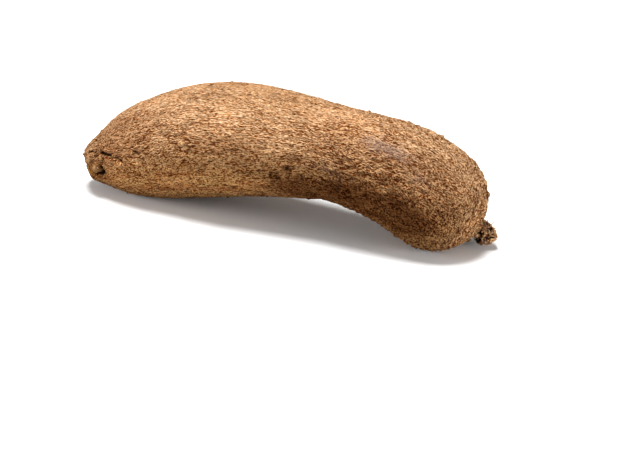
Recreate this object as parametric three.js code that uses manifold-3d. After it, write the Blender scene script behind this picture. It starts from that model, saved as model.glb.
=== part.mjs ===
// A whole white yam (Dioscorea rotundata) as dug up: one thick tuber with the dried, woody
// crown of its vine at the head. Millimetres, +Z up. The tuber lies along X with its crown at
// +X, arched like a low bridge, and rests on the flattened skin under its two ends at Z = 0.
// The origin is on that plane, under the middle of the whole yam's box.
import * as THREE from "three";
import { mergeVertices } from "three/addons/utils/BufferGeometryUtils.js";
import Module from "manifold-3d";

const manifold = await Module();
manifold.setup();

// ---- Driving dimensions ----

// Cross-sections from the tail to the head: the centre, the half width across the length and
// the half height. The first and the last are the two tips.
const SECTIONS = [
  { x: -178, y: -11, z: 21, wide: 16, high: 14 },
  { x: -160, y: -9, z: 25, wide: 24, high: 21 },
  { x: -136, y: -5, z: 32, wide: 35, high: 35 },
  { x: -108, y: -2, z: 41, wide: 42, high: 42 },
  { x: -72, y: 0, z: 52, wide: 46, high: 46 },
  { x: -36, y: -1, z: 60, wide: 47, high: 46 },
  { x: -7, y: -2, z: 63, wide: 44, high: 44 },
  { x: 21, y: -3, z: 64, wide: 41, high: 41 },
  { x: 50, y: -4, z: 64, wide: 39, high: 38 },
  { x: 80, y: -4, z: 61, wide: 39, high: 39 },
  { x: 108, y: -2, z: 53, wide: 40, high: 41 },
  { x: 134, y: 3, z: 37, wide: 41, high: 41 },
  { x: 164, y: 13, z: 16, wide: 37, high: 37 },
];
const TAIL_ROUNDING = 18; // length over which the tail closes to its tip
const HEAD_ROUNDING = 41; // the same at the head
const TAIL_FULLNESS = 2.2; // 2 closes as an ellipse does, and more is blunter
const HEAD_FULLNESS = 2.2;

// Broad swellings (+) and hollows (-) of the skin. The place is a distance from the tail along
// the length and an angle in degrees: 0 is the back (+Y), 90 the top and 270 the underside.
const SWELLINGS = [
  { from: 110, angle: 5, height: 2.0, length: 45, spread: 50 },
  { from: 175, angle: 330, height: -1.6, length: 30, spread: 55 },
  { from: 232, angle: 205, height: -1.2, length: 14, spread: 60 },
  { from: 262, angle: 20, height: -1.8, length: 26, spread: 60 },
  { from: 300, angle: 25, height: 1.6, length: 30, spread: 45 },
];

// The old break at the tail: a flat, pressed into the tip.
const TAIL_SCAR = { inset: 1, normal: [-0.8, -0.57, -0.2] };

const RINGS = 64; // steps along the tuber
const SIDES = 48; // vertices in a ring

const SEAT_DEPTH = 3; // hollow in the head round the crown
const SEAT_RADIUS = 15;
const CROWN_RADIUS = 8.5; // the crown's core, before its knobs
const CROWN_REACH = 5; // from the head's tip to the middle of the crown
const CROWN_GAP = 0.3; // between the crown and the skin under it
const KNOBS = 13;
const KNOB_RADIUS = 3.4;
const KNOB_SPREAD = 1.1; // 1 puts knobs on the outer half of the crown, and 2 all round it
const CORE_DETAIL = 5; // subdivision of the spheres
const KNOB_DETAIL = 2;

// ---- Tuber ----

const UP = new THREE.Vector3(0, 0, 1);
const GOLDEN_ANGLE = Math.PI * (3 - Math.sqrt(5));

function smoothCurve(points) {
  return new THREE.CatmullRomCurve3(points, false, "catmullrom");
}

const spine = smoothCurve(SECTIONS.map((s) => new THREE.Vector3(s.x, s.y, s.z)));
const girth = smoothCurve(SECTIONS.map((s) => new THREE.Vector3(s.wide, s.high, 0)));
const length = spine.getLength();
const tail = spine.getPoint(0);
const head = spine.getPoint(1);
const tailward = spine.getTangent(0).negate();
const headward = spine.getTangent(1);

// The share of the full girth that the skin has at a distance from a tip.
function closing(distance, rounding, fullness) {
  const inside = Math.max(0, 1 - distance / rounding);
  return Math.pow(1 - Math.pow(inside, fullness), 1 / fullness);
}

// How far the swellings and hollows move the skin at a place on it.
function swelling(from, angle) {
  return SWELLINGS.reduce((sum, s) => {
    const turn = THREE.MathUtils.euclideanModulo(angle - s.angle + 180, 360) - 180;
    const fade = ((from - s.from) / s.length) ** 2 + (turn / s.spread) ** 2;
    return sum + s.height * Math.exp(-fade);
  }, 0);
}

// A ring of skin at a share of the length, from 0 at the tail to 1 at the head.
function ring(along, grow) {
  const u = spine.getUtoTmapping(along);
  const centre = spine.getPoint(u);
  const forward = spine.getTangent(u);
  const side = new THREE.Vector3().crossVectors(UP, forward).normalize();
  const above = new THREE.Vector3().crossVectors(forward, side);
  const full = girth.getPoint(u);
  const from = along * length;
  const share =
    closing(from, TAIL_ROUNDING, TAIL_FULLNESS) *
    closing(length - from, HEAD_ROUNDING, HEAD_FULLNESS);
  return Array.from({ length: SIDES }, (_, i) => {
    const degrees = (360 * i) / SIDES;
    const angle = THREE.MathUtils.degToRad(degrees);
    const extra = swelling(from, degrees) * share + grow;
    return centre
      .clone()
      .addScaledVector(side, (full.x * share + extra) * Math.cos(angle))
      .addScaledVector(above, (full.y * share + extra) * Math.sin(angle));
  });
}

// Presses a point of the skin into the crown's seat, the tail's scar and the resting flats.
function press(point) {
  const near = point.distanceTo(head) / SEAT_RADIUS;
  point.addScaledVector(headward, -SEAT_DEPTH * Math.exp(-near * near));
  const normal = new THREE.Vector3(...TAIL_SCAR.normal).normalize();
  const proud = point.clone().sub(tail).dot(normal) + TAIL_SCAR.inset;
  point.addScaledVector(normal, -Math.max(0, proud));
  point.z = Math.max(point.z, 0);
  return point;
}

// The closed skin, moved outwards by grow.
function tuberGeometry(grow) {
  const points = [tail.clone().addScaledVector(tailward, grow)];
  for (let step = 1; step < RINGS; step++) {
    points.push(...ring((1 - Math.cos((Math.PI * step) / RINGS)) / 2, grow));
  }
  points.push(head.clone().addScaledVector(headward, grow));
  points.forEach(press);

  const last = points.length - 1;
  const faces = [];
  for (let i = 0; i < SIDES; i++) {
    const next = (i + 1) % SIDES;
    faces.push(0, 1 + next, 1 + i);
    faces.push(last, last - SIDES + i, last - SIDES + next);
    for (let step = 0; step < RINGS - 2; step++) {
      const here = 1 + step * SIDES;
      const there = here + SIDES;
      faces.push(here + i, here + next, there + next);
      faces.push(here + i, there + next, there + i);
    }
  }
  const geometry = new THREE.BufferGeometry().setFromPoints(points);
  geometry.setIndex(faces);
  return geometry;
}

// ---- Crown ----

function solid(geometry) {
  const bare = new THREE.BufferGeometry();
  bare.setAttribute("position", geometry.getAttribute("position"));
  bare.setIndex(geometry.getIndex());
  const merged = mergeVertices(bare, 1e-4);
  return new manifold.Manifold(
    new manifold.Mesh({
      numProp: 3,
      vertProperties: merged.getAttribute("position").array,
      triVerts: new Uint32Array(merged.getIndex().array),
    }),
  );
}

function geometryOf(body) {
  const mesh = body.getMesh();
  const geometry = new THREE.BufferGeometry();
  geometry.setAttribute("position", new THREE.BufferAttribute(mesh.vertProperties, 3));
  geometry.setIndex(new THREE.BufferAttribute(mesh.triVerts, 1));
  return geometry;
}

function ball(centre, radius, detail) {
  const geometry = new THREE.IcosahedronGeometry(radius, detail);
  geometry.translate(centre.x, centre.y, centre.z);
  return solid(geometry);
}

// A woody core with knobs spread over its outer face, fitted to the skin under it.
function crownGeometry() {
  const middle = head.clone().addScaledVector(headward, CROWN_REACH);
  const facing = new THREE.Quaternion().setFromUnitVectors(UP, headward);
  let body = ball(middle, CROWN_RADIUS, CORE_DETAIL);
  for (let i = 0; i < KNOBS; i++) {
    // A golden-angle spiral from the crown's outer face down to its waist.
    const fall = Math.acos(1 - (KNOB_SPREAD * (i + 0.5)) / KNOBS);
    const turn = i * GOLDEN_ANGLE;
    const outwards = new THREE.Vector3().setFromSphericalCoords(1, fall, turn);
    outwards.applyAxisAngle(new THREE.Vector3(1, 0, 0), Math.PI / 2);
    outwards.applyQuaternion(facing);
    const radius = KNOB_RADIUS + 0.8 * Math.sin(2.4 * i);
    const centre = middle.clone().addScaledVector(outwards, CROWN_RADIUS - 1);
    body = body.add(ball(centre, radius, KNOB_DETAIL));
  }
  return geometryOf(body.subtract(solid(tuberGeometry(CROWN_GAP))));
}

// ---- The yam ----

function piece(name, geometry, color, roughness) {
  const material = new THREE.MeshStandardMaterial({ color, roughness, metalness: 0 });
  const mesh = new THREE.Mesh(geometry, material);
  mesh.name = name;
  return mesh;
}

const yam = new THREE.Group();
yam.add(piece("tuber", tuberGeometry(0), 0x9c7150, 0.9));
yam.add(piece("crown", crownGeometry(), 0x4d331f, 0.95));
const middle = new THREE.Box3().setFromObject(yam).getCenter(new THREE.Vector3());
yam.position.set(-middle.x, -middle.y, 0);
export default yam;
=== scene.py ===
"""A whole white yam lying on a pale studio floor: bark-like skin, an old break at the tail and
a pitted, woody crown. Metres, +Z up, with the tail at -X and the crown at +X.

A place on the skin is a distance from the tail over the skin in mm, and an angle round the
tuber in degrees: 0 is the back (+Y), 90 the top, 180 the front and 270 the underside."""
import math
import random

import bmesh
import bpy
import numpy as np
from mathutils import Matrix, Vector, noise as waves
from mathutils.bvhtree import BVHTree


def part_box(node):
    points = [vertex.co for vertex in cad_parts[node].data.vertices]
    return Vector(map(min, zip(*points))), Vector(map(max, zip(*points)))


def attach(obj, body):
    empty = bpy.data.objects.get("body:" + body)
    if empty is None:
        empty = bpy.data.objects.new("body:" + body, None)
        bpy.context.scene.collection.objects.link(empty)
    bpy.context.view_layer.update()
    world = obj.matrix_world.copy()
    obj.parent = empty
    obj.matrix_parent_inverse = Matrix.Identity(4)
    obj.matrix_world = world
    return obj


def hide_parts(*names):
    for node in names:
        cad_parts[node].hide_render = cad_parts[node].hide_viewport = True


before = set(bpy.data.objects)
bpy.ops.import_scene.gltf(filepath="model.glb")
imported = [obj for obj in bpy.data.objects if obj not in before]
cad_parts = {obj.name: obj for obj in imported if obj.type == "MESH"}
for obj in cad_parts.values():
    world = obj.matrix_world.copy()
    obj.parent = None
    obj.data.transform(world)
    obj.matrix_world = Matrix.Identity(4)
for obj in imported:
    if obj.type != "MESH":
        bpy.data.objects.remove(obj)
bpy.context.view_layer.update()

MM = 0.001
UP = Vector((0, 0, 1))

# ---- Skin: mesh and grain ----

SKIN_SIDES = 300  # vertices round the tuber
SKIN_ROWS = 330  # steps from the tail's pole to the head's
SKIN_SMOOTHING = 30  # rounds
SPINE_STEP = 6 * MM
SPINE_SMOOTHING = 4  # rounds
CENTRING_ROUNDS = 3  # to find the middle of the first section
SPOKES = 24  # rays that find the middle of a section
GRAIN_GIRTH = 45.0  # radius in mm at which the bark pattern keeps its width
GRAIN_DRAWN = 0.21  # 1 is as long as it is wide, and less is drawn out along the tuber
GRAIN_CURLED = 0.4  # the same where the bark curls
RIM_DRAWN = 0.15  # the same round the tuber, on the rim of the head
RIM = (350, 362)  # where the pattern turns to run round the head, in mm from the tail
HEAD_CURL_FROM = (0.45, 0.95)  # where curling starts and is full, as shares of the length
TAIL_CURL_FROM = (60, 25)  # the same towards the tail, in mm from it
TAIL_CURL = 0.5  # how curled it gets there
UNDERSIDE_SHADE = (0.75, -0.35)  # how far up the skin faces where the underside's painted shade starts and is full
HEAD_SHADE_FADE_FROM = (0.86, 0.94)  # where the underside's painted shade fades, as shares of the length
HEAD_SHADE_FADE = 0.7  # how much of it fades there
BARK_MIDDLE = 0.62  # bark this high, in mm, lies where the smooth skin was
BARK_MIDTONE = 0.075  # taken off the bark's paleness, so that 0 is its middle tone

# ---- Skin: what grew, broke and rubbed where ----

# Lumps and warts: place, radius and height in mm.
LUMPS = [
    (30, 158, 6.5, 2.0),
    (37, 179, 6.5, 2.4),
    (46, 163, 3.6, 1.4),
    (52, 168, 2.8, 0.9),
    (57, 172, 3.0, 1.0),
    (43, 189, 3.0, 0.9),
    (53, 184, 2.6, 0.8),
    (64, 186, 2.6, 0.8),
    (66, 176, 3.5, 1.0),
    (72, 170, 2.6, 0.9),
    (76, 190, 3.0, 1.2),
    (84, 178, 3.2, 0.9),
    (371, 76, 2.8, 1.7),
    (336, 80, 3.0, 0.9),
    (345, 86, 3.0, 1.0),
    (352, 88, 2.8, 0.9),
    (361, 90, 3.0, 1.0),
    (325, 76, 3.0, 0.8),
    (310, 80, 3.0, 0.7),
    (139, 166, 3.6, 1.0),
    (120, 150, 3.4, 0.9),
    (104, 138, 3.0, 0.9),
    (158, 150, 3.4, 1.0),
    (171, 158, 3.0, 0.9),
    (262, 172, 2.8, 0.9),
    (301, 178, 2.6, 0.9),
    (282, 165, 2.6, 0.8),
    (318, 130, 2.6, 0.8),
    (243, 175, 2.6, 0.9),
    (291, 153, 2.6, 0.9),
    (309, 149, 2.8, 1.0),
    (314, 107, 2.6, 0.8),
    (325, 117, 2.8, 1.0),
    (337, 122, 2.6, 0.9),
]

# Cracks: half the width and the depth in mm, and the places they run through.
CRACKS = [
    (1.3, 2.2, [(46, 154), (50, 157), (58, 162)]),
    (0.9, 1.4, [(63, 166), (66, 168), (70, 173)]),
    (0.8, 1.4, [(29, 145), (34, 148)]),
    (1.5, 2.8, [(37, 150), (38, 150.5)]),
    (1.9, 3.2, [(43, 177), (44, 185), (39, 191), (33, 189)]),
    (0.7, 1.0, [(40, 155), (43, 165), (43, 176)]),
    (0.7, 0.9, [(25, 150), (24, 160), (27, 170)]),
    (0.7, 0.9, [(46, 170), (52, 175), (52, 182)]),
    (1.7, 1.0, [(84, 163), (88, 167)]),
    (1.2, 0.8, [(91, 173), (93, 179)]),
]
BLACK_CRACK_DEPTH = 1.4  # a crack this deep, in mm, is painted black inside with shade

# Pits: place and radius in mm.
PITS = [
    (46, 187, 1.9),
    (76, 190, 1.9),
    (182, 112, 1.9),
    (211, 194, 2.6),
    (218, 198, 3.4),
    (224, 120, 1.9),
    (226, 185, 3.6),
    (238, 196, 2.8),
    (256, 100, 1.9),
    (290, 113, 2.2),
    (352, 150, 1.9),
]
PIT_DEPTH = 0.9  # mm
PIT_DARKNESS = 0.8  # painted shade in a pit: 1 is as black as a crack

# Stains: place, half the length and half the width in mm, and strength.
STAINS = {
    # Most of these are painted shadow on the front and the underside; the first, on the head's wart,
    # is soil.
    "shadow_and_soil": [
        (371, 76, 5, 4, 1.0),
        (225, 184, 4, 3, 1.0),
        (227, 188, 3, 3, 0.9),
        (216, 199, 5, 6, 0.9),
        (212, 192, 3, 4, 0.6),
        (237, 196, 7, 5, 0.8),
        (234, 216, 10, 6, 0.8),
        (270, 202, 10, 9, 0.8),
        (250, 214, 45, 13, 0.8),
        (300, 200, 36, 18, 0.9),
        (330, 190, 24, 14, 0.5),
        (270, 250, 60, 32, 0.8),
    ],
    "brown": [
        (76, 148, 30, 16, 0.9),
        (40, 170, 24, 22, 0.4),
        (160, 165, 30, 9, 0.7),
        (60, 130, 40, 30, 0.5),
        (139, 189, 14, 8, 0.5),
        (265, 140, 9, 6, 0.5),
        (288, 114, 5, 5, 0.6),
        (190, 180, 14, 14, 0.4),
        (255, 140, 34, 28, 0.45),
        (278, 196, 22, 10, 0.7),
        (172, 102, 12, 5, 0.3),
        (292, 158, 26, 12, 0.6),
        (322, 146, 24, 24, 0.8),
        (334, 180, 24, 24, 0.8),
        (285, 158, 40, 20, 0.6),
        (93, 134, 18, 12, 0.7),
    ],
    "ash": [
        (245, 174, 16, 7, 0.3),
        (262, 172, 12, 8, 0.3),
        (270, 186, 10, 8, 0.3),
        (284, 130, 14, 9, 0.55),
        (301, 133, 13, 7, 0.5),
        (172, 142, 10, 8, 0.4),
        (317, 150, 14, 6, 0.4),
        (92, 330, 20, 15, 0.5),
        (240, 20, 26, 14, 0.5),
    ],
    "pale": [
        (265, 110, 45, 22, 0.5),
        (172, 140, 14, 10, 0.8),
        (103, 103, 16, 8, 0.7),
        (104, 204, 46, 14, 0.9),
        (68, 184, 26, 14, 0.9),
        (142, 222, 56, 14, 0.9),
        (170, 206, 34, 10, 0.8),
        (139, 174, 7, 6, 0.6),
        (172, 196, 8, 6, 0.6),
        (347, 134, 8, 8, 0.6),
        (374, 150, 9, 24, 0.9),
        (370, 172, 9, 26, 0.9),
        (205, 40, 24, 14, 0.6),
        (300, 350, 20, 14, 0.6),
    ],
    "rust": [(28, 186, 2.6, 2.4, 0.9)],
    "worn": [
        (371, 160, 7, 40, 0.9),
        (270, 112, 60, 26, 0.9),
        (110, 205, 60, 15, 0.7),
        (190, 215, 40, 10, 0.6),
        (56, 185, 18, 14, 0.4),
        (180, 92, 60, 12, 0.35),
        (120, 320, 40, 20, 0.6),
    ],
}

# Growth grooves: half the width and the depth in mm, and the places they run through. Most
# lie round the head.
GROOVES = [
    (1.5, 2.0, [(366, 60), (368, 110), (370, 136), (367, 167), (367, 181), (367, 215), (366, 250)]),
    (1.4, 1.8, [(371, 80), (373, 120), (374, 150), (373, 180), (372, 225)]),
    (1.2, 1.2, [(362, 120), (365, 145), (364, 168), (363, 188), (360, 215)]),
    (0.9, 1.0, [(377, 110), (378, 150), (377, 200)]),
    (1.4, 1.0, [(368, 20), (366, 350), (367, 310), (370, 280)]),
    (1.8, 0.6, [(262, 143), (266, 158), (265, 172), (269, 186), (270, 200)]),
]
LIP = (12.5, 5.0, 3.0)  # the rim round the crown: distance from its middle, width, height, mm

# ---- Crown ----

CROWN_SUBDIVISIONS = 6
CROWN_SMOOTHING = 6  # rounds
SPONGE_MIDDLE = 1.3  # wood this high, in mm, lies where the smooth crown was

# Knobs and hollows: bearing anticlockwise from +X and slope in degrees, the angle they span,
# and how far they stand out in mm.
KNOBS = [
    (-42, 66, 22, 0.6),
    (-97, 45, 24, 1.0),
    (-15, -4, 30, 2.2),
    (-22, -30, 30, 1.0),
    (-118, 4, 40, 3.4),
    (35, -20, 26, 1.2),
]
HOLLOWS = [
    (-120, -30, 30, -1.5),
    (48, 48, 42, -6.5),
    (-53, 13, 13, -3.4),
    (-56, -8, 14, -3.8),
    (-106, -10, 12, -3.4),
    (-84, -28, 13, -3.6),
    (-48, 46, 9, -2.0),
    (-50, 70, 9, -1.6),
    (-92, 18, 10, -2.4),
    (-86, -14, 12, -3.2),
    (-100, -27, 13, -3.2),
    (-30, 8, 7, -1.6),
    (-126, 10, 14, -2.6),
    (-124, -14, 12, -3.0),
    (-102, 14, 9, -2.2),
    (15, 25, 12, -2.4),
    (70, -10, 12, -2.4),
]

ROOTLETS = 16  # dried rootlets on the crown
ROOTLET_SEED = 11
ROOTLET_STEPS = 7
ROOTLET_SIDES = 6
ROOTLET_BEARINGS = (-150, 110)
ROOTLET_SLOPES = (-55, 75)
ROOTLET_LENGTHS = (4, 8)  # mm
ROOTLET_RADIUS = 0.5  # mm where it grows
ROOTLET_TAPER = 0.34  # mm thinner in radius at its tip
ROOTLET_DEPTH = 1.5  # mm into the crown
ROOTLET_DROOP = 0.3
ROOTLET_WANDER = 0.55

# ---- Colours ----

# Bark, first on the top and then on the underside, where it is darker and browner with painted
# shade.
# Crevice colours are partly painted shade and crest colours partly painted highlight.
CREVICE = ((0.17, 0.046, 0.01, 1), (0.13, 0.028, 0.004, 1))
BODY = ((0.61, 0.31, 0.135, 1), (0.63, 0.247, 0.064, 1))
CREST = ((0.82, 0.54, 0.325, 1), (0.9, 0.51, 0.22, 1))
# Each tint is multiplied with the bark's own colour.
CURLED_TINT = (0.96, 0.92, 0.84, 1)
WISP_TINT = (0.66, 0.5, 0.4, 1)
BROWN_TINT = (0.6, 0.47, 0.37, 1)
PALE_TINT = (1.4, 1.37, 1.35, 1)
SHADOW_AND_SOIL_TINT = (0.4, 0.3, 0.24, 1)
BLOTCH = (0.34, 0.17, 0.075, 1)
ASH = (0.39, 0.27, 0.225, 1)
RUST = (0.6, 0.23, 0.03, 1)
RUBBED = (0.88, 0.52, 0.24, 1)
# Groove and crack colours are painted shade.
GROOVE_SHADE = (0.13, 0.055, 0.024, 1)
CRACK_BLACK = (0.025, 0.012, 0.006, 1)

# Crown: the hole colour is painted shade, the crest colour painted highlight, and the hollows' black
# painted shade.
CORK_HOLE = (0.02, 0.005, 0.001, 1)
CORK = (0.36, 0.145, 0.05, 1)
CORK_CREST = (0.9, 0.56, 0.28, 1)
MAUVE = (0.34, 0.19, 0.14, 1)
HOLLOW_BLACK = (0.008, 0.004, 0.002, 1)
ROOTLET_STRIPES = ((0.3, 0.17, 0.09, 1), (0.7, 0.5, 0.33, 1))

WHITE = (1, 1, 1, 1)
BLACK = (0, 0, 0, 1)
FLOOR_GREY = (0.44, 0.44, 0.44, 1)
WORLD_GREY = (0.24, 0.24, 0.24, 1)

# ---- Stage ----

FLOOR_REACH = 6  # metres from its middle to its sides
SHADOW_FADE = (0.35, 0.8)  # metres from its middle, where it starts to whiten and is white

# Lamps: name, place, the point they shine at, how wide they are, and watts.
LAMPS = [
    ("overhead", (-0.05, -0.05, 1.3), (0, 0, 0.05), 0.6, 28.8),
    ("end", (1.4, -0.1, 0.12), (0.1, 0, 0.05), 0.6, 19.5),
    ("fill", (-1.3, -0.5, 0.15), (-0.1, 0, 0.04), 0.8, 21),
]
CAMERA_AIM = (0.032, -0.007, -0.0045)
CAMERA_AZIMUTH = 25  # degrees to the right of the yam's front
CAMERA_ELEVATION = 25  # degrees
CAMERA_DISTANCE = 1.18
CAMERA_LENS = 85  # mm
CAMERA_SENSOR = 36  # mm

# ---- Small tools ----


def mesh_piece(name, mesh):
    """A new object in the scene that holds a bmesh."""
    data = bpy.data.meshes.new(name)
    mesh.to_mesh(data)
    mesh.free()
    piece = bpy.data.objects.new(name, data)
    bpy.context.scene.collection.objects.link(piece)
    data.shade_smooth()
    return piece


def middle_of(box):
    low, high = box
    return (low + high) / 2


def cad_surface(node):
    """A ray-castable copy of a CAD node, with its loose triangles joined."""
    copy = bmesh.new()
    copy.from_mesh(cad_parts[node].data)
    bmesh.ops.remove_doubles(copy, verts=copy.verts, dist=0.001 * MM)
    surface = BVHTree.FromBMesh(copy)
    copy.free()
    return surface


def smooth(mesh, rounds):
    for _ in range(rounds):
        bmesh.ops.smooth_vert(
            mesh, verts=mesh.verts, factor=0.5, use_axis_x=True, use_axis_y=True, use_axis_z=True
        )


def smoothstep(low, high, values):
    share = np.clip((values - low) / (high - low), 0, 1)
    return share * share * (3 - 2 * share)


def nearness(distance, radius, reach=1.0):
    """1 in the middle of a mark, and 0 from reach times its radius on."""
    return 1 - smoothstep(0.2 * radius, reach * radius, distance)


def vectors(collection, field):
    found = np.empty(len(collection) * 3)
    collection.foreach_get(field, found)
    return found.reshape(-1, 3)


def set_coordinates(data, points):
    data.vertices.foreach_set("co", np.ascontiguousarray(points).ravel())
    data.update()


def store(data, name, values):
    """Keeps one number or one vector per vertex on a mesh, for its material to read."""
    vector = values.ndim == 2
    layer = data.attributes.new(name, "FLOAT_VECTOR" if vector else "FLOAT", "POINT")
    layer.data.foreach_set("vector" if vector else "value", values.ravel())


def bearing_to_vector(bearing, slope):
    """A direction from its bearing, anticlockwise from +X, and its slope above level."""
    level = math.cos(math.radians(slope))
    turn = math.radians(bearing)
    return Vector((level * math.cos(turn), level * math.sin(turn), math.sin(math.radians(slope))))


# ---- Node trees: the same words build a material and a relief ----


def add(tree, kind, inputs, output=0, **settings):
    """Adds a node, fills its inputs with numbers or links, and returns one of its outputs."""
    made = tree.nodes.new(kind)
    for name, value in settings.items():
        setattr(made, name, value)
    for name, value in inputs.items():
        if isinstance(value, bpy.types.NodeSocket):
            tree.links.new(value, made.inputs[name])
        else:
            made.inputs[name].default_value = value
    return made.outputs[output]


def maths(tree, operation, first, second=0.0):
    return add(tree, "ShaderNodeMath", {0: first, 1: second}, operation=operation)


def times(tree, first, second):
    return maths(tree, "MULTIPLY", first, second)


def weighted(tree, value, gain, base):
    """The value times gain, plus base."""
    return add(tree, "ShaderNodeMath", {0: value, 1: gain, 2: base}, operation="MULTIPLY_ADD")


def centred(tree, value):
    """A noise's value, from -0.5 to 0.5."""
    return maths(tree, "SUBTRACT", value, 0.5)


def one_minus(tree, value):
    return maths(tree, "SUBTRACT", 1.0, value)


def total(tree, *heights):
    found = heights[0]
    for height in heights[1:]:
        found = maths(tree, "ADD", found, height)
    return found


def scaled(tree, vector, share):
    return add(tree, "ShaderNodeVectorMath", {0: vector, 3: share}, operation="SCALE")


def shifted(tree, vector, offset):
    return add(tree, "ShaderNodeVectorMath", {0: vector, 1: offset}, operation="ADD")


def noise(tree, at, scale, detail=0.0, roughness=0.5, colour=False):
    inputs = {"Vector": at, "Scale": scale, "Detail": detail, "Roughness": roughness}
    return add(tree, "ShaderNodeTexNoise", inputs, output=1 if colour else 0)


def drift(tree, at, scale, detail):
    """A vector that wanders from place to place, from -0.5 to 0.5 each way."""
    return shifted(tree, noise(tree, at, scale, detail, colour=True), (-0.5, -0.5, -0.5))


def cells(tree, at, scale, output="Distance"):
    return add(tree, "ShaderNodeTexVoronoi", {"Vector": at, "Scale": scale}, output=output)


def ramp(tree, value, low, high, start=0.0, end=1.0):
    """Goes smoothly from start to end as a value goes from low to high."""
    inputs = {"Value": value, "From Min": low, "From Max": high, "To Min": start, "To Max": end}
    return add(tree, "ShaderNodeMapRange", inputs, interpolation_type="SMOOTHSTEP")


def thin_line(tree, value, width):
    """1 where a noise passes its middle value, and 0 further away than width."""
    away = maths(tree, "ABSOLUTE", centred(tree, value))
    return ramp(tree, away, width * 0.3, width, 1.0, 0.0)


def spots(tree, at, scale, width, share):
    """Scattered round spots: 1 in the middle of a spot, and 0 outside it. The share is how many
    of the cells of the scatter hold one."""
    near = ramp(tree, cells(tree, at, scale), width * 0.35, width, 1.0, 0.0)
    lot = maths(tree, "GREATER_THAN", cells(tree, at, scale, output="Color"), 1 - share)
    return times(tree, near, lot)


def mix(tree, share, first, second, blend="MIX"):
    """Mixes two colours."""
    # These are the numbers of a Mix node's factor and of its two colours.
    inputs = {0: share, 6: first, 7: second}
    settings = {"data_type": "RGBA", "blend_type": blend, "clamp_result": True}
    return add(tree, "ShaderNodeMix", inputs, output=2, **settings)


def named(tree, name, vector=False):
    """Reads an attribute of the mesh, in a relief tree or in a material."""
    if tree.type == "GEOMETRY":
        data_type = "FLOAT_VECTOR" if vector else "FLOAT"
        return add(tree, "GeometryNodeInputNamedAttribute", {"Name": name}, data_type=data_type)
    output = "Vector" if vector else "Fac"
    return add(tree, "ShaderNodeAttribute", {}, output=output, attribute_name=name)


def raise_surface(piece, build, middle):
    """Moves a piece along its normals by the height in mm that build works out in nodes, less
    the middle height."""
    tree = bpy.data.node_groups.new("relief", "GeometryNodeTree")
    tree.interface.new_socket("Geometry", in_out="INPUT", socket_type="NodeSocketGeometry")
    tree.interface.new_socket("Geometry", in_out="OUTPUT", socket_type="NodeSocketGeometry")
    shape = tree.nodes.new("NodeGroupInput").outputs[0]
    height = maths(tree, "SUBTRACT", build(tree), middle)
    normal = add(tree, "GeometryNodeInputNormal", {})
    offset = scaled(tree, normal, times(tree, height, MM))
    shape = add(tree, "GeometryNodeSetPosition", {"Geometry": shape, "Offset": offset})
    tree.links.new(shape, tree.nodes.new("NodeGroupOutput").inputs[0])
    modifier = piece.modifiers.new("relief", "NODES")
    modifier.node_group = tree
    bpy.context.view_layer.update()
    depsgraph = bpy.context.evaluated_depsgraph_get()
    piece.data = bpy.data.meshes.new_from_object(piece.evaluated_get(depsgraph))
    piece.modifiers.clear()
    piece.data.shade_smooth()


def new_material(name, roughness):
    """A matt material, its node tree and its shader."""
    material = bpy.data.materials.new(name)
    material.use_nodes = True
    shader = material.node_tree.nodes["Principled BSDF"]
    shader.inputs["Roughness"].default_value = roughness
    shader.inputs["Specular IOR Level"].default_value = 0.0
    return material, material.node_tree, shader


def colour_and_bump(tree, shader, colour, height):
    """Gives a shader its colour, and a bump from a height in mm."""
    tree.links.new(colour, shader.inputs["Base Color"])
    bump = add(tree, "ShaderNodeBump", {"Height": height, "Distance": MM, "Strength": 1.0})
    tree.links.new(bump, shader.inputs["Normal"])


# ---- Spine of the tuber ----


def spoke(forward, angle):
    """The direction square to forward at an angle round it: 0 is the back."""
    side = UP.cross(forward).normalized()
    above = forward.cross(side)
    return side * math.cos(angle) + above * math.sin(angle)


def section(surface, centre, forward):
    """The middle and the mean radius of the tuber's section square to forward."""
    angles = [math.tau * i / SPOKES for i in range(SPOKES)]
    hits = [surface.ray_cast(centre, spoke(forward, angle))[0] for angle in angles]
    middle = sum(hits, Vector()) / SPOKES
    radius = sum((hit - middle).length for hit in hits) / SPOKES
    return middle, radius


def march(surface, centre, forward):
    """Middles of the sections from a start towards one end, up to where the end rounds off."""
    middles = []
    while True:
        centre, radius = section(surface, centre, forward)
        middles.append(centre.copy())
        if len(middles) > 1:
            forward = (forward + (middles[-1] - middles[-2]).normalized()).normalized()
        ahead = surface.ray_cast(centre, forward)[0]
        if (ahead - centre).length < radius + SPINE_STEP:
            return middles, radius
        centre = centre + forward * SPINE_STEP


def find_spine(surface):
    """The tuber's middle line from tail to head, and the radius at each end of it."""
    start = middle_of(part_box("tuber"))
    for _ in range(CENTRING_ROUNDS):
        start = section(surface, start, Vector((1, 0, 0)))[0]
    headwards, head_radius = march(surface, start, Vector((1, 0, 0)))
    tailwards, tail_radius = march(surface, start, Vector((-1, 0, 0)))
    spine = np.array([*reversed(tailwards[1:]), *headwards])
    for _ in range(SPINE_SMOOTHING):
        spine[1:-1] = (spine[:-2] + 2 * spine[1:-1] + spine[2:]) / 4
    return spine, tail_radius, head_radius


def at_distance(distance, travelled, rows):
    """The vector at a distance along rows of vectors, between the two nearest rows."""
    return Vector([np.interp(distance, travelled, column) for column in rows.T])


# ---- Skin of the tuber ----


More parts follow.
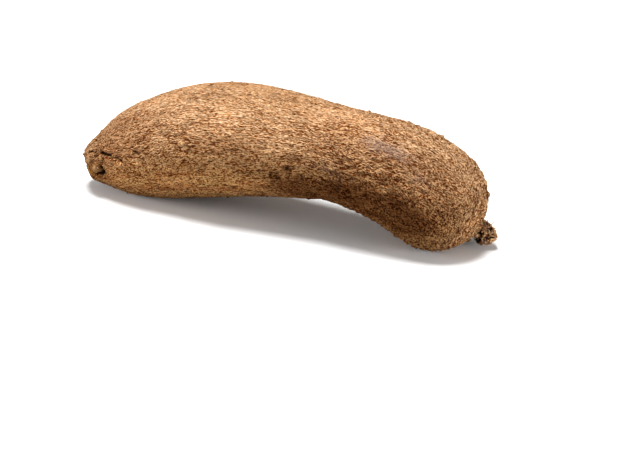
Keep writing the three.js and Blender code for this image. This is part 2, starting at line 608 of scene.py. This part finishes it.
def wrap_skin(surface):
    """A fine closed mesh drawn onto the tuber. Returns it with each vertex's distance from the
    tail's pole over the skin (mm), its angle round the spine and its distance from it (mm)."""
    spine, tail_radius, head_radius = find_spine(surface)
    steps = np.linalg.norm(np.diff(spine, axis=0), axis=1)
    travelled = np.concatenate([[0], np.cumsum(steps)])
    heading = np.gradient(spine, travelled, axis=0)
    tail_cap = math.pi / 2 * tail_radius
    head_cap = math.pi / 2 * head_radius
    whole = tail_cap + travelled[-1] + head_cap

    skin = bmesh.new()
    bmesh.ops.create_uvsphere(skin, u_segments=SKIN_SIDES, v_segments=SKIN_ROWS, radius=1)
    places = []
    for vertex in skin.verts:
        along = math.acos(max(-1, min(1, -vertex.co.z))) / math.pi * whole
        angle = math.atan2(vertex.co.y, vertex.co.x)
        on_spine = min(max(along - tail_cap, 0), travelled[-1])
        centre = at_distance(on_spine, travelled, spine)
        forward = at_distance(on_spine, travelled, heading).normalized()
        outwards = spoke(forward, angle)
        # Past the end of the spine the rays swing round to the pole.
        if along < tail_cap:
            swing = along / tail_radius
            outwards = outwards * math.sin(swing) - forward * math.cos(swing)
        elif along > whole - head_cap:
            swing = (whole - along) / head_radius
            outwards = outwards * math.sin(swing) + forward * math.cos(swing)
        vertex.co = surface.ray_cast(centre, outwards)[0]
        reach = vertex.co - centre
        off_axis = (reach - forward * reach.dot(forward)).length
        places.append((along / MM, angle, off_axis / MM))
    # Rounds the facets of the CAD solid off.
    smooth(skin, SKIN_SMOOTHING)
    bmesh.ops.recalc_face_normals(skin, faces=skin.faces)
    return mesh_piece("skin", skin), np.array(places)


class Skin:
    """The tuber's skin as rows of numbers: one row per vertex, in mm."""

    def __init__(self, data, places):
        self.points = vectors(data.vertices, "co") / MM
        self.normals = vectors(data.vertex_normals, "vector")
        self.along, self.angle, self.off_axis = places.T

    def around(self, degrees):
        """How far each vertex lies round the tuber from an angle."""
        turn = (self.angle - math.radians(degrees) + math.pi) % math.tau - math.pi
        return self.off_axis * turn

    def spot(self, along, degrees):
        """The point of the skin at a place."""
        away = (self.along - along) ** 2 + self.around(degrees) ** 2
        return self.points[np.argmin(away)]

    def distance(self, along, degrees):
        return np.linalg.norm(self.points - self.spot(along, degrees), axis=1)

    def distance_to_line(self, places):
        nearest = np.full(len(self.points), np.inf)
        spots_on_line = [self.spot(*place) for place in places]
        for start, end in zip(spots_on_line, spots_on_line[1:]):
            run = end - start
            share = np.clip((self.points - start) @ run / (run @ run), 0, 1)
            away = np.linalg.norm(self.points - start - share[:, None] * run, axis=1)
            nearest = np.minimum(nearest, away)
        return nearest

    def stain(self, marks):
        """How strongly a list of stains colours each vertex."""
        clean = np.ones(len(self.points))
        for along, degrees, length, width, strength in marks:
            fade = ((self.along - along) / length) ** 2 + (self.around(degrees) / width) ** 2
            clean *= 1 - strength * np.exp(-fade)
        return 1 - clean


class Bark:
    """The bark, worked out in the nodes of a relief or a material. Ridges run along the tuber
    with short crevices between them. They curl where curl is 1, they run round the tuber on the
    rim of the head, and they are low where the skin is worn."""

    def __init__(self, tree):
        self.tree = tree
        self.grain = named(tree, "grain", vector=True)
        self.place = named(tree, "place", vector=True)
        self.curl = named(tree, "curl")
        sway = scaled(tree, drift(tree, self.grain, 0.11, detail=2), self.by_curl(3.6, 2.4))
        self.swayed = shifted(tree, self.grain, sway)
        self.ringed = shifted(tree, named(tree, "ringed", vector=True), scaled(tree, sway, 0.3))
        self.folds = noise(tree, self.swayed, 0.13, detail=1)
        self.warts = spots(tree, self.place, scale=0.15, width=0.26, share=0.4)

    def by_curl(self, gain, base):
        """A weight: base on straight bark, and gain more on curled bark."""
        return weighted(self.tree, self.curl, gain, base)

    def drawn_out(self, scale, detail=0.0):
        """Noise drawn out along the tuber, and round it on the rim of the head."""
        along = noise(self.tree, self.swayed, scale, detail)
        around = noise(self.tree, self.ringed, scale, detail)
        # These are the numbers of a Mix node's factor and of its two values.
        return add(self.tree, "ShaderNodeMix", {0: named(self.tree, "rim"), 2: along, 3: around})

    def worn_down(self, height):
        left = ramp(self.tree, named(self.tree, "worn"), 0.0, 1.0, start=1.0, end=0.7)
        return times(self.tree, height, left)

    def coarse(self):
        """The height in mm of what the mesh can hold: folds, ridges, knots and warts."""
        tree = self.tree
        ridges = self.drawn_out(0.42, detail=1)
        knots = centred(tree, noise(tree, self.place, 0.3, detail=1))
        return total(
            tree,
            times(tree, self.folds, 0.55),
            ramp(tree, ridges, 0.36, 0.62, 0.0, 0.4),
            times(tree, knots, self.by_curl(4.2, 0.9)),
            times(tree, self.warts, self.by_curl(0.6, 1.0)),
        )

    def grit(self):
        """Grains of dirt, most of them on curled bark and on the underside."""
        grains = centred(self.tree, noise(self.tree, self.place, 0.9, detail=1))
        amount = self.by_curl(0.5, weighted(self.tree, named(self.tree, "underside_shade"), 0.6, 0.25))
        return times(self.tree, grains, amount)

    def granules(self):
        """Round grains of the bark itself."""
        grains = ramp(self.tree, cells(self.tree, self.swayed, 0.62), 0.15, 0.65, 1.0, 0.0)
        return times(self.tree, grains, self.by_curl(0.7, 0.3))

    def furrows(self):
        """0 in a furrow and 1 beside it."""
        away = maths(self.tree, "ABSOLUTE", centred(self.tree, self.drawn_out(0.45)))
        return ramp(self.tree, away, 0.0, 0.15)

    def cracks_and_threads(self):
        """Thin dark cracks in some patches, and thin pale threads in the others."""
        tree = self.tree
        patches = noise(tree, shifted(tree, self.grain, (70, 0, 0)), 0.14)
        patches = ramp(tree, self.by_curl(0.08, patches), 0.46, 0.6)
        cracks = thin_line(tree, noise(tree, self.swayed, 0.5, detail=1), 0.034)
        threads = thin_line(tree, noise(tree, shifted(tree, self.swayed, (0, 50, 0)), 0.25), 0.02)
        return times(tree, cracks, patches), times(tree, threads, one_minus(tree, patches))

    def fine(self):
        """The height in mm of what the mesh is too coarse to hold, and how much paler the bark
        is than its middle tone."""
        tree = self.tree
        fibres = centred(tree, self.drawn_out(0.9, detail=1))
        hairs = centred(tree, self.drawn_out(2.0))
        grit = self.grit()
        granules = self.granules()
        furrows = self.furrows()
        cracks, threads = self.cracks_and_threads()
        pits = spots(tree, shifted(tree, self.place, (30, 0, 0)), scale=0.13, width=0.13, share=0.35)
        # Painted shade: a dark ring round the foot of each wart.
        wart_foot_shade = times(tree, self.warts, one_minus(tree, self.warts))
        # Most of the paleness follows the height: painted shade in furrows, cracks and pits, and
        # painted highlight on ridges, on top of the bark's own tone.
        paleness = total(
            tree,
            times(tree, threads, 0.2),
            times(tree, self.folds, 0.05),
            times(tree, furrows, 0.06),
            times(tree, fibres, weighted(tree, named(tree, "brown"), 0.5, 0.6)),
            times(tree, hairs, 1.3),
            grit,
            times(tree, granules, 0.1),
            times(tree, self.warts, self.by_curl(0.2, 0.2)),
            times(tree, wart_foot_shade, self.by_curl(-1.8, -0.4)),
            times(tree, cracks, -0.4),
            times(tree, pits, -0.5),
            -BARK_MIDTONE,
        )
        height = total(
            tree,
            times(tree, furrows, 0.7),
            times(tree, fibres, 5.4),
            times(tree, hairs, self.by_curl(-1.0, 2.0)),
            times(tree, grit, 6.0),
            times(tree, granules, 0.6),
            times(tree, cracks, -1.0),
            times(tree, pits, -0.9),
        )
        return height, paleness


def bark_relief(tree):
    bark = Bark(tree)
    return bark.worn_down(bark.coarse())


def store_grain(data, skin, curl):
    """Stores the coordinates of the bark pattern. It is drawn out along the tuber, and less so
    where it curls. On the rim of the head it is drawn out round the tuber instead."""
    drawn = GRAIN_DRAWN + (GRAIN_CURLED - GRAIN_DRAWN) * curl
    order = np.argsort(skin.along)
    grain_along = np.empty_like(skin.along)
    steps = np.diff(skin.along[order]) * drawn[order][1:]
    grain_along[order] = np.concatenate([[0], np.cumsum(steps)])
    girth = np.sqrt(skin.off_axis * GRAIN_GIRTH)
    across = [girth * np.cos(skin.angle), girth * np.sin(skin.angle)]
    store(data, "grain", np.stack([grain_along, *across], axis=1))
    ringed = [skin.along, RIM_DRAWN * across[0], RIM_DRAWN * across[1]]
    store(data, "ringed", np.stack(ringed, axis=1))
    store(data, "rim", smoothstep(*RIM, skin.along))
    store(data, "curl", curl)
    store(data, "place", skin.points)


def add_features(skin, crown_middle):
    """Lumps, cracks, pits, grooves and the rim round the crown. Returns the lift of each vertex
    in mm, and how much of a lump, a crack and a groove is there, from 0 to 1."""
    lift = np.zeros(len(skin.points))
    lump = np.zeros(len(skin.points))
    crack = np.zeros(len(skin.points))
    groove = np.zeros(len(skin.points))
    sway = np.array([waves.noise(Vector(point) * 0.15) for point in skin.points])
    for along, degrees, radius, height in LUMPS:
        near = nearness(skin.distance(along, degrees), radius)
        lift += height * near
        lump = np.maximum(lump, near)
    for half_width, depth, places in CRACKS:
        near = nearness(skin.distance_to_line(places), half_width, reach=1.6)
        lift -= depth * near
        crack = np.maximum(crack, near * min(depth / BLACK_CRACK_DEPTH, 1))
    for along, degrees, radius in PITS:
        near = nearness(skin.distance(along, degrees), radius)
        lift -= PIT_DEPTH * near
        crack = np.maximum(crack, PIT_DARKNESS * near)
    for half_width, depth, places in GROOVES:
        near = nearness(skin.distance_to_line(places), half_width, reach=1.8) * (0.9 + sway)
        lift -= depth * near
        groove = np.maximum(groove, near * min(depth, 1))
    distance, width, height = LIP
    from_crown = np.linalg.norm(skin.points - crown_middle, axis=1)
    lift += height * np.exp(-(((from_crown - distance) / width) ** 2)) * (0.8 + sway)
    return lift, {"lump": lump, "crack": crack, "groove": groove}


def make_tuber():
    piece, places = wrap_skin(cad_surface("tuber"))
    skin = Skin(piece.data, places)
    share = skin.along / skin.along.max()
    tail_curl = TAIL_CURL * smoothstep(*TAIL_CURL_FROM, skin.along)
    store_grain(piece.data, skin, np.maximum(smoothstep(*HEAD_CURL_FROM, share), tail_curl))
    lift, features = add_features(skin, np.array(middle_of(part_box("crown"))) / MM)
    for name, values in features.items():
        store(piece.data, name, values)
    for name, marks in STAINS.items():
        store(piece.data, name, skin.stain(marks))
    # Painted shade: what faces down is darker and browner, and less so towards the head.
    head_shade_fade = HEAD_SHADE_FADE * smoothstep(*HEAD_SHADE_FADE_FROM, share)
    store(piece.data, "underside_shade", smoothstep(*UNDERSIDE_SHADE, skin.normals[:, 2]) * (1 - head_shade_fade))
    set_coordinates(piece.data, (skin.points + skin.normals * lift[:, None]) * MM)
    raise_surface(piece, bark_relief, BARK_MIDDLE)
    # Flattens what would reach below the floor.
    points = vectors(piece.data.vertices, "co")
    points[:, 2] = np.maximum(points[:, 2], 0)
    set_coordinates(piece.data, points)
    piece.data.materials.append(skin_material())
    return piece


def broken_edge(tree, stain):
    """A stain with its edge broken up by the bark."""
    ragged = noise(tree, named(tree, "place", vector=True), 0.3, detail=5, roughness=0.8)
    ragged = weighted(tree, ragged, 1.2, -0.6)
    return ramp(tree, maths(tree, "ADD", named(tree, stain), ragged), 0.25, 0.7)


def bark_contrast(tree):
    """Curled bark, stained bark and the underside, whose extra contrast is painted shade, have the
    most light and dark in them, and worn bark the least."""
    contrast = weighted(tree, named(tree, "curl"), 1.3, 0.86)
    for name, gain in [("underside_shade", 1.15), ("brown", 0.35), ("worn", -0.5)]:
        contrast = weighted(tree, named(tree, name), gain, contrast)
    return contrast


def bark_colour(tree, paleness):
    """The colour of clean bark, from its crevices to its crests."""
    underside_shade = named(tree, "underside_shade")
    # The underside's versions of these colours are its painted shade.
    crevice = mix(tree, underside_shade, *CREVICE)
    body = mix(tree, underside_shade, *BODY)
    crest = mix(tree, underside_shade, *CREST)
    colour = mix(tree, ramp(tree, paleness, -0.31, -0.05), crevice, body)
    colour = mix(tree, ramp(tree, paleness, 0.0, 0.24), colour, crest)
    colour = mix(tree, named(tree, "curl"), colour, CURLED_TINT, "MULTIPLY")
    wisps = ramp(tree, noise(tree, named(tree, "grain", vector=True), 0.1, detail=3), 0.5, 0.65)
    wisps = times(tree, wisps, times(tree, underside_shade, 0.5))
    colour = mix(tree, wisps, colour, WISP_TINT, "MULTIPLY")
    place = named(tree, "place", vector=True)
    blotches = ramp(tree, noise(tree, place, 0.06, detail=3), 0.35, 0.65)
    return mix(tree, times(tree, blotches, 0.1), colour, BLOTCH)


def stained(tree, colour):
    brown = times(tree, total(tree, broken_edge(tree, "brown"), named(tree, "brown")), 0.3)
    colour = mix(tree, brown, colour, BROWN_TINT, "MULTIPLY")
    for name, strength, tint, blend in [
        ("pale", 0.7, PALE_TINT, "MULTIPLY"),
        ("ash", 0.5, ASH, "MIX"),
        # Painted shadow, and soil on one wart.
        ("shadow_and_soil", 0.85, SHADOW_AND_SOIL_TINT, "MULTIPLY"),
    ]:
        colour = mix(tree, times(tree, broken_edge(tree, name), strength), colour, tint, blend)
    return mix(tree, named(tree, "rust"), colour, RUST)


def marked(tree, colour):
    """Rubs the tops of the lumps pale, and paints shade into the grooves, the cracks and the pits.
    """
    rubbed = ramp(tree, named(tree, "lump"), 0.3, 1.0, 0.0, 0.4)
    colour = mix(tree, rubbed, colour, RUBBED)
    groove = times(tree, ramp(tree, named(tree, "groove"), 0.35, 0.95), 0.75)
    colour = mix(tree, groove, colour, GROOVE_SHADE)
    return mix(tree, ramp(tree, named(tree, "crack"), 0.3, 0.95), colour, CRACK_BLACK)


def skin_material():
    material, tree, shader = new_material("yam_bark", 0.9)
    bark = Bark(tree)
    fine_height, paleness = bark.fine()
    height = bark.worn_down(total(tree, bark.coarse(), fine_height))
    colour = bark_colour(tree, times(tree, paleness, bark_contrast(tree)))
    colour_and_bump(tree, shader, marked(tree, stained(tree, colour)), height)
    return material


# ---- Crown and rootlets ----


def sponge(tree, fine):
    """The height of the crown's dried, spongy wood in mm. The fine part is what the mesh is too
    coarse to hold."""
    at = named(tree, "place", vector=True)
    at = shifted(tree, at, scaled(tree, drift(tree, at, 0.25, detail=1), 6.0))
    holes = ramp(tree, noise(tree, at, 0.6), 0.32, 0.47, -2.4, 0.0)
    lumps = times(tree, noise(tree, at, 0.3, detail=2, roughness=0.7), 2.4)
    crumbs = ramp(tree, cells(tree, at, 0.5), 0.1, 0.75, 0.9, 0.0)
    height = total(tree, holes, lumps, crumbs)
    if fine:
        grains = noise(tree, at, 1.4, detail=3, roughness=0.75)
        height = total(tree, height, times(tree, grains, 1.6))
    return height


def make_crown():
    surface = cad_surface("crown")
    middle = middle_of(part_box("crown"))
    crown = bmesh.new()
    bmesh.ops.create_icosphere(crown, subdivisions=CROWN_SUBDIVISIONS, radius=1)
    for vertex in crown.verts:
        hit = surface.ray_cast(middle, vertex.co.normalized())[0]
        vertex.co = hit if hit else middle
    smooth(crown, CROWN_SMOOTHING)
    bmesh.ops.recalc_face_normals(crown, faces=crown.faces)
    piece = mesh_piece("woody_crown", crown)
    points = vectors(piece.data.vertices, "co")
    outwards = points - np.array(middle)
    outwards /= np.linalg.norm(outwards, axis=1)[:, None]
    lift = np.zeros(len(points))
    hollow = np.zeros(len(points))
    for bearing, slope, span, height in KNOBS + HOLLOWS:
        towards = np.array(bearing_to_vector(bearing, slope))
        off = np.degrees(np.arccos(np.clip(outwards @ towards, -1, 1)))
        near = nearness(off, span)
        lift += height * near
        if height < 0:
            hollow = np.maximum(hollow, near)
    store(piece.data, "place", points / MM)
    store(piece.data, "hollow", hollow)
    set_coordinates(piece.data, points + outwards * lift[:, None] * MM)
    raise_surface(piece, lambda tree: sponge(tree, fine=False), SPONGE_MIDDLE)
    piece.data.materials.append(cork_material())
    return piece


def cork_material():
    material, tree, shader = new_material("crown_cork", 0.9)
    height = sponge(tree, fine=True)
    place = named(tree, "place", vector=True)
    # Painted shade in the sponge's holes and painted highlight on its crests.
    colour = mix(tree, ramp(tree, height, 1.0, 2.2), CORK_HOLE, CORK)
    colour = mix(tree, ramp(tree, height, 2.1, 3.0), colour, CORK_CREST)
    mauve = ramp(tree, noise(tree, place, 0.12, detail=2), 0.45, 0.6)
    colour = mix(tree, times(tree, mauve, 0.5), colour, MAUVE)
    # Painted shade: the hollows are near black.
    hollow = ramp(tree, named(tree, "hollow"), 0.1, 0.75, 0.0, 0.95)
    colour_and_bump(tree, shader, mix(tree, hollow, colour, HOLLOW_BLACK), height)
    return material


def add_rootlet(mesh, start, direction, length, dice):
    """A thin dried root: a ring that is pulled out step by step, wanders and gets thinner."""
    ring = bmesh.ops.create_circle(mesh, cap_ends=True, segments=ROOTLET_SIDES, radius=1)["verts"]
    cap = ring[0].link_faces[0]
    point = start
    direction = direction.normalized()
    for step in range(ROOTLET_STEPS + 1):
        if step:
            pulled = bmesh.ops.extrude_face_region(mesh, geom=[cap])["geom"]
            bmesh.ops.delete(mesh, geom=[cap], context="FACES_ONLY")
            cap = next(part for part in pulled if isinstance(part, bmesh.types.BMFace))
        radius = (ROOTLET_RADIUS - ROOTLET_TAPER * step / ROOTLET_STEPS) * MM
        turn = direction.to_track_quat("Z", "Y")
        for i, vertex in enumerate(cap.verts):
            angle = math.tau * i / ROOTLET_SIDES
            vertex.co = point + turn @ Vector((math.cos(angle), math.sin(angle), 0)) * radius
        wander = Vector([dice.uniform(-1, 1) for _ in range(3)])
        direction = (direction + ROOTLET_WANDER * wander).normalized()
        point = point + direction * length / ROOTLET_STEPS


def make_rootlets():
    middle = middle_of(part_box("crown"))
    surface = cad_surface("crown")
    dice = random.Random(ROOTLET_SEED)
    rootlets = bmesh.new()
    for _ in range(ROOTLETS):
        bearing = dice.uniform(*ROOTLET_BEARINGS)
        outwards = bearing_to_vector(bearing, dice.uniform(*ROOTLET_SLOPES))
        hit = surface.ray_cast(middle, outwards)[0]
        start = hit - outwards * ROOTLET_DEPTH * MM
        direction = outwards + Vector((0, 0, -ROOTLET_DROOP))
        length = dice.uniform(*ROOTLET_LENGTHS) * MM
        add_rootlet(rootlets, start, direction, length, dice)
    bmesh.ops.recalc_face_normals(rootlets, faces=rootlets.faces)
    piece = mesh_piece("rootlets", rootlets)
    piece.data.materials.append(rootlet_material())
    return piece


def rootlet_material():
    material, tree, shader = new_material("dry_rootlet", 0.8)
    position = add(tree, "ShaderNodeTexCoord", {}, output="Object")
    stripes = ramp(tree, noise(tree, position, 900.0, detail=2), 0.35, 0.65)
    tree.links.new(mix(tree, stripes, *ROOTLET_STRIPES), shader.inputs["Base Color"])
    return material


# ---- Stage, light and camera ----


def white_to_camera(tree, seen, otherwise):
    """A colour that the camera and glossy reflections see, and another for all other light."""
    path = tree.nodes.new("ShaderNodeLightPath")
    share = maths(tree, "MAXIMUM", path.outputs["Is Camera Ray"], path.outputs["Is Glossy Ray"])
    return mix(tree, share, otherwise, seen)


def make_floor():
    sheet = bmesh.new()
    bmesh.ops.create_grid(sheet, x_segments=1, y_segments=1, size=FLOOR_REACH)
    floor = mesh_piece("floor", sheet)
    material, tree, shader = new_material("studio_floor", 1.0)
    tree.links.new(white_to_camera(tree, WHITE, FLOOR_GREY), shader.inputs["Base Color"])
    # Beyond the yam's shadow the floor is the white of the backdrop.
    position = add(tree, "ShaderNodeTexCoord", {}, output="Object")
    away = add(tree, "ShaderNodeVectorMath", {0: position}, output=1, operation="LENGTH")
    glow = mix(tree, ramp(tree, away, *SHADOW_FADE), BLACK, WHITE)
    tree.links.new(white_to_camera(tree, glow, BLACK), shader.inputs["Emission Color"])
    shader.inputs["Emission Strength"].default_value = 1.0
    floor.data.materials.append(material)


def make_world():
    world = bpy.data.worlds.new("studio")
    bpy.context.scene.world = world
    world.use_nodes = True
    tree = world.node_tree
    colour = white_to_camera(tree, WHITE, WORLD_GREY)
    tree.links.new(colour, tree.nodes["Background"].inputs["Color"])


def make_lamp(name, place, aim, size, power):
    lamp = bpy.data.lights.new(name, "AREA")
    lamp.shape = "DISK"
    lamp.size = size
    lamp.energy = power
    holder = bpy.data.objects.new(name, lamp)
    holder.location = place
    holder.rotation_euler = (Vector(aim) - Vector(place)).to_track_quat("-Z", "Y").to_euler()
    bpy.context.scene.collection.objects.link(holder)


def make_camera():
    backwards = bearing_to_vector(CAMERA_AZIMUTH - 90, CAMERA_ELEVATION)
    camera = bpy.data.cameras.new("camera")
    camera.lens = CAMERA_LENS
    camera.sensor_width = CAMERA_SENSOR
    holder = bpy.data.objects.new("camera", camera)
    holder.location = Vector(CAMERA_AIM) + backwards * CAMERA_DISTANCE
    holder.rotation_euler = backwards.to_track_quat("Z", "Y").to_euler()
    bpy.context.scene.collection.objects.link(holder)
    bpy.context.scene.camera = holder


bpy.context.scene.view_settings.view_transform = "Standard"
tuber = make_tuber()
crown = make_crown()
rootlets = make_rootlets()
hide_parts("tuber")
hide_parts("crown")
for piece, slot in [(tuber, "skin"), (crown, "cork"), (rootlets, "cork")]:
    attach(piece, "root")

make_floor()
make_world()
for lamp in LAMPS:
    make_lamp(*lamp)
make_camera()
